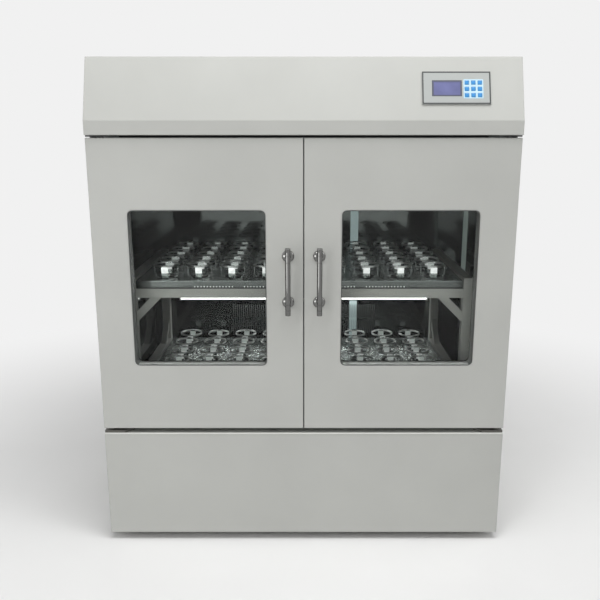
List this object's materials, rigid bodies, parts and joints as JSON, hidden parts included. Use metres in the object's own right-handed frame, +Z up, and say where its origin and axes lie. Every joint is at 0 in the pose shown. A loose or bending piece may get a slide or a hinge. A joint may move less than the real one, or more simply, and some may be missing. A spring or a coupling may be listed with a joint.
{
  "type": "shaking incubator",
  "caption": "Floor-standing shaking incubator with two glazed swing doors, two tiers of flask clamps on an orbiting frame, and a sloped header with a keypad.",
  "frame": {"origin": "middle of the underside of the whole object's box, at floor level", "axes": "+Z up, doors facing -Y, +X to the right of someone who faces the doors"},
  "size_m": [1.2, 0.8528, 1.441],
  "materials": {
    "powder_coat": "satin, warm light grey",
    "frame_paint": "satin, warm grey",
    "polished_stainless": "mirror-polished sheet",
    "brushed_stainless": "satin sheet",
    "machined_steel": "turned",
    "cast_iron": "as cast and turned",
    "bright_chrome": "polished",
    "foam": "rigid foam",
    "window_glass": "clear",
    "black_rubber": "matt",
    "lamp_glass": "frosted white",
    "silver_panel": "satin silver film",
    "display_glass": "smooth",
    "key_blue": "satin",
    "motor_paint": "satin",
    "compressor_paint": "gloss black",
    "fin_alloy": "finned",
    "fan_alloy": "pressed",
    "black_plastic": "matt"
  },
  "bodies": {
    "cabinet": {"outer_wrapper": "powder_coat", "top_cover": "powder_coat", "header_cover": "powder_coat", "plinth_cover": "powder_coat", "base_frame": "machined_steel", "machine_deck": "machined_steel", "chamber_liner": "polished_stainless", "insulation": "foam", "duct_cover": "polished_stainless", "lamp_tube": "lamp_glass", "lamp_holder": "polished_stainless", "drive_motor": "motor_paint", "drive_belt": "black_rubber", "compressor": "compressor_paint", "condenser": "fin_alloy", "evaporator": "fin_alloy", "circulation_fan_motor": "motor_paint", "condenser_fan_motor": "motor_paint", "control_panel": "silver_panel", "display": "display_glass", "left_lower_hinge": "machined_steel", "left_upper_hinge": "machined_steel", "right_lower_hinge": "machined_steel", "right_upper_hinge": "machined_steel", "mains_inlet": "black_plastic"},
    "left_door": {"left_door_skin": "powder_coat", "left_door_core": "foam", "left_door_liner": "polished_stainless", "left_door_outer_glass": "window_glass", "left_door_inner_glass": "window_glass", "left_door_seal": "black_rubber", "left_door_handle": "bright_chrome"},
    "right_door": {"right_door_skin": "powder_coat", "right_door_core": "foam", "right_door_liner": "polished_stainless", "right_door_outer_glass": "window_glass", "right_door_inner_glass": "window_glass", "right_door_seal": "black_rubber", "right_door_handle": "bright_chrome"},
    "drive_crank": {"drive_crank": "machined_steel", "crank_pulley": "cast_iron"},
    "left_idler_crank": {"left_idler_crank": "machined_steel"},
    "right_idler_crank": {"right_idler_crank": "machined_steel"},
    "platform": {"shaker_frame": "frame_paint", "upper_tray": "brushed_stainless", "lower_tray": "brushed_stainless"},
    "motor_shaft": {"motor_pulley": "cast_iron"},
    "circulation_fan": {"circulation_fan": "fan_alloy"},
    "condenser_fan": {"condenser_fan": "fan_alloy"},
    "mains_rocker": {"mains_rocker": "black_plastic"},
    "key_1": {"key_1": "key_blue"},
    "key_2": {"key_2": "key_blue"},
    "key_3": {"key_3": "key_blue"},
    "key_4": {"key_4": "key_blue"},
    "key_5": {"key_5": "key_blue"},
    "key_6": {"key_6": "key_blue"},
    "key_7": {"key_7": "key_blue"},
    "key_8": {"key_8": "key_blue"},
    "key_9": {"key_9": "key_blue"}
  },
  "joints": [
    {"name": "left_door_swing", "type": "hinge", "parent": "cabinet", "child": "left_door", "pos_m": [-0.582, -0.35364, 0.372], "axis": [0, 0, -1], "range_deg": [0, 110]},
    {"name": "right_door_swing", "type": "hinge", "parent": "cabinet", "child": "right_door", "pos_m": [0.582, -0.35364, 0.372], "axis": [0, 0, 1], "range_deg": [0, 110]},
    {"name": "drive_crank_spin", "type": "hinge", "parent": "cabinet", "child": "drive_crank", "pos_m": [0, 0.11836, 0.394], "axis": [0, 0, 1], "continuous": true},
    {"name": "left_idler_spin", "type": "hinge", "parent": "cabinet", "child": "left_idler_crank", "pos_m": [-0.38, -0.12164, 0.394], "axis": [0, 0, 1], "continuous": true},
    {"name": "right_idler_spin", "type": "hinge", "parent": "cabinet", "child": "right_idler_crank", "pos_m": [0.38, -0.12164, 0.394], "axis": [0, 0, 1], "continuous": true},
    {"name": "platform_orbit", "type": "hinge", "parent": "drive_crank", "child": "platform", "pos_m": [-0.013, 0.11836, 0.394], "axis": [0, 0, 1], "continuous": true},
    {"name": "motor_spin", "type": "hinge", "parent": "cabinet", "child": "motor_shaft", "pos_m": [0.25, 0.11836, 0.2417], "axis": [0, 0, 1], "continuous": true},
    {"name": "circulation_fan_spin", "type": "hinge", "parent": "cabinet", "child": "circulation_fan", "pos_m": [0, 0.35776, 1.01], "axis": [0, 1, 0], "continuous": true},
    {"name": "condenser_fan_spin", "type": "hinge", "parent": "cabinet", "child": "condenser_fan", "pos_m": [0.33, 0.31036, 0.1803], "axis": [0, 1, 0], "continuous": true},
    {"name": "mains_rocker_tilt", "type": "hinge", "parent": "cabinet", "child": "mains_rocker", "pos_m": [-0.4, 0.41836, 0.184], "axis": [-1, 0, 0], "range_deg": [0, 16]},
    {"name": "key_1_press", "type": "slide", "parent": "cabinet", "child": "key_1", "axis": [0, 0.947, -0.3212], "range_m": [0, 0.0006], "stiffness_N_per_m": 1500},
    {"name": "key_2_press", "type": "slide", "parent": "cabinet", "child": "key_2", "axis": [0, 0.947, -0.3212], "range_m": [0, 0.0006], "stiffness_N_per_m": 1500},
    {"name": "key_3_press", "type": "slide", "parent": "cabinet", "child": "key_3", "axis": [0, 0.947, -0.3212], "range_m": [0, 0.0006], "stiffness_N_per_m": 1500},
    {"name": "key_4_press", "type": "slide", "parent": "cabinet", "child": "key_4", "axis": [0, 0.947, -0.3212], "range_m": [0, 0.0006], "stiffness_N_per_m": 1500},
    {"name": "key_5_press", "type": "slide", "parent": "cabinet", "child": "key_5", "axis": [0, 0.947, -0.3212], "range_m": [0, 0.0006], "stiffness_N_per_m": 1500},
    {"name": "key_6_press", "type": "slide", "parent": "cabinet", "child": "key_6", "axis": [0, 0.947, -0.3212], "range_m": [0, 0.0006], "stiffness_N_per_m": 1500},
    {"name": "key_7_press", "type": "slide", "parent": "cabinet", "child": "key_7", "axis": [0, 0.947, -0.3212], "range_m": [0, 0.0006], "stiffness_N_per_m": 1500},
    {"name": "key_8_press", "type": "slide", "parent": "cabinet", "child": "key_8", "axis": [0, 0.947, -0.3212], "range_m": [0, 0.0006], "stiffness_N_per_m": 1500},
    {"name": "key_9_press", "type": "slide", "parent": "cabinet", "child": "key_9", "axis": [0, 0.947, -0.3212], "range_m": [0, 0.0006], "stiffness_N_per_m": 1500}
  ],
  "couplings": [
    {"joint": "platform_orbit", "follows": "drive_crank_spin", "ratio": -1},
    {"joint": "left_idler_spin", "follows": "drive_crank_spin", "ratio": 1},
    {"joint": "right_idler_spin", "follows": "drive_crank_spin", "ratio": 1},
    {"joint": "motor_spin", "follows": "drive_crank_spin", "ratio": 3.6616}
  ]
}
